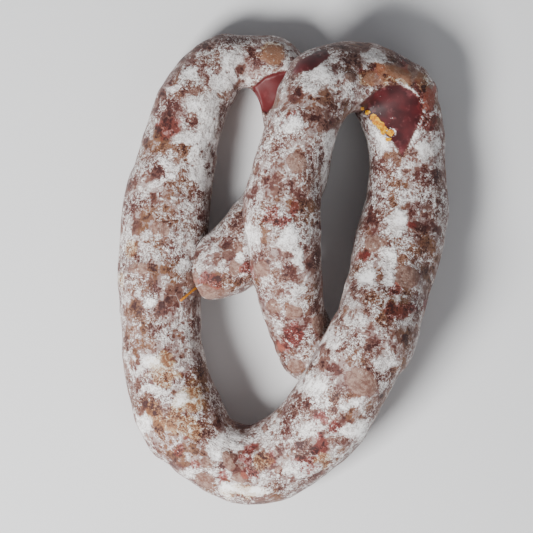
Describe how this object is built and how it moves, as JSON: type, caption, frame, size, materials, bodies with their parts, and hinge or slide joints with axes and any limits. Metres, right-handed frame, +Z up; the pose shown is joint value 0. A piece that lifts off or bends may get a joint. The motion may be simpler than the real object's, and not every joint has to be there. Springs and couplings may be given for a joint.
{
  "type": "cured sausage",
  "caption": "Cured sausage in a natural casing, bent into a crossed pretzel shape and lying flat, its casing covered in a dry white mould bloom.",
  "frame": {"origin": "on the table, under the middle of the outline", "axes": "+Z up from the table, +Y towards the two arches, +X towards the right limb"},
  "size_m": [0.1483, 0.2128, 0.0633],
  "materials": {
    "moulded_casing": "matte natural casing with a powdery white mould bloom over red-brown meat"
  },
  "bodies": {
    "root": {"sausage": "moulded_casing"}
  },
  "joints": []
}
